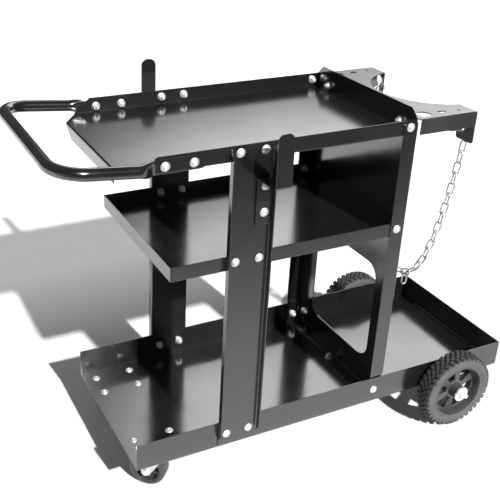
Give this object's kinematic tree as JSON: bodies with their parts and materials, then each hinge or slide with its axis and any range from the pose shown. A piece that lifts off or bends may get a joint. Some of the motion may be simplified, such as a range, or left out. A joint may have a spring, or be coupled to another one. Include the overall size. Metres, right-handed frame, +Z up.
{
  "type": "three-tier welding cart",
  "caption": "Black steel service trolley with stacked trays, tube handle, cable hooks, a gas-bottle deck with chain, rear wheels and front swivel casters.",
  "frame": {"origin": "on the ground under the centre of the bounding box", "axes": "+X from the handle towards the gas-bottle deck and rear wheels, +Z up, +Y to the far side in the picture"},
  "size_m": [0.8955, 0.406, 0.67],
  "materials": {
    "black_steel": "gloss black powder coat",
    "zinc": "bright zinc plating",
    "tyre_rubber": "matt black rubber",
    "tread_rubber": "satin dark rubber",
    "rim_plastic": "semi-gloss black moulding",
    "hub_plastic": "matt black moulding",
    "bush_plastic": "natural nylon"
  },
  "bodies": {
    "cart_frame": {"bottom_tray": "black_steel", "middle_tray": "black_steel", "top_tray": "black_steel", "post_near": "black_steel", "post_far": "black_steel", "rear_panel": "black_steel", "tank_bracket": "black_steel", "hook_near": "black_steel", "hook_far": "black_steel", "handle": "black_steel", "axle_bracket_near": "black_steel", "axle_bracket_far": "black_steel", "post_bolts": "zinc", "post_nuts": "zinc", "hook_bolts": "zinc", "hook_nuts": "zinc", "panel_bolts": "zinc", "panel_nuts": "zinc", "bracket_bolts": "zinc", "bracket_nuts": "zinc", "handle_bolts": "zinc", "handle_nuts": "zinc", "axle": "zinc", "wheel_washers": "zinc", "cotter_pins": "zinc", "caster_plate_near": "zinc", "caster_plate_far": "zinc", "caster_bolts": "zinc", "caster_nuts": "zinc", "kingpin_near": "zinc", "kingpin_far": "zinc", "chain_ends": "zinc"},
    "rear_wheel_near": {"tyre_near": "tyre_rubber", "rim_near": "rim_plastic", "bushing_near": "bush_plastic"},
    "rear_wheel_far": {"tyre_far": "tyre_rubber", "rim_far": "rim_plastic", "bushing_far": "bush_plastic"},
    "caster_near_fork": {"caster_fork_near": "zinc", "race_balls_near": "zinc", "caster_axle_near": "zinc", "caster_sleeve_near": "zinc"},
    "caster_near_wheel": {"caster_hub_near": "hub_plastic", "caster_tread_near": "tread_rubber"},
    "caster_far_fork": {"caster_fork_far": "zinc", "race_balls_far": "zinc", "caster_axle_far": "zinc", "caster_sleeve_far": "zinc"},
    "caster_far_wheel": {"caster_hub_far": "hub_plastic", "caster_tread_far": "tread_rubber"},
    "hanging_chain": {"chain": "zinc"}
  },
  "joints": [
    {"name": "rear_wheel_near_spin", "type": "hinge", "parent": "cart_frame", "child": "rear_wheel_near", "pos_m": [0.32275, -0.168, 0.075], "axis": [0, 1, 0], "continuous": true},
    {"name": "rear_wheel_far_spin", "type": "hinge", "parent": "cart_frame", "child": "rear_wheel_far", "pos_m": [0.32275, 0.168, 0.075], "axis": [0, 1, 0], "continuous": true},
    {"name": "caster_near_swivel", "type": "hinge", "parent": "cart_frame", "child": "caster_near_fork", "pos_m": [-0.26625, -0.097, 0.071], "axis": [0, 0, 1], "continuous": true},
    {"name": "caster_far_swivel", "type": "hinge", "parent": "cart_frame", "child": "caster_far_fork", "pos_m": [-0.26625, 0.097, 0.071], "axis": [0, 0, 1], "continuous": true},
    {"name": "caster_near_roll", "type": "hinge", "parent": "caster_near_fork", "child": "caster_near_wheel", "pos_m": [-0.27576, -0.08813, 0.0326], "axis": [-0.682, -0.7314, 0], "continuous": true},
    {"name": "caster_far_roll", "type": "hinge", "parent": "caster_far_fork", "child": "caster_far_wheel", "pos_m": [-0.27235, 0.10848, 0.0326], "axis": [-0.8829, -0.4695, 0], "continuous": true},
    {"name": "chain_swing", "type": "hinge", "parent": "cart_frame", "child": "hanging_chain", "pos_m": [0.29375, 0, 0.5916], "axis": [0, -1, 0], "range_deg": [-14, 85]}
  ]
}
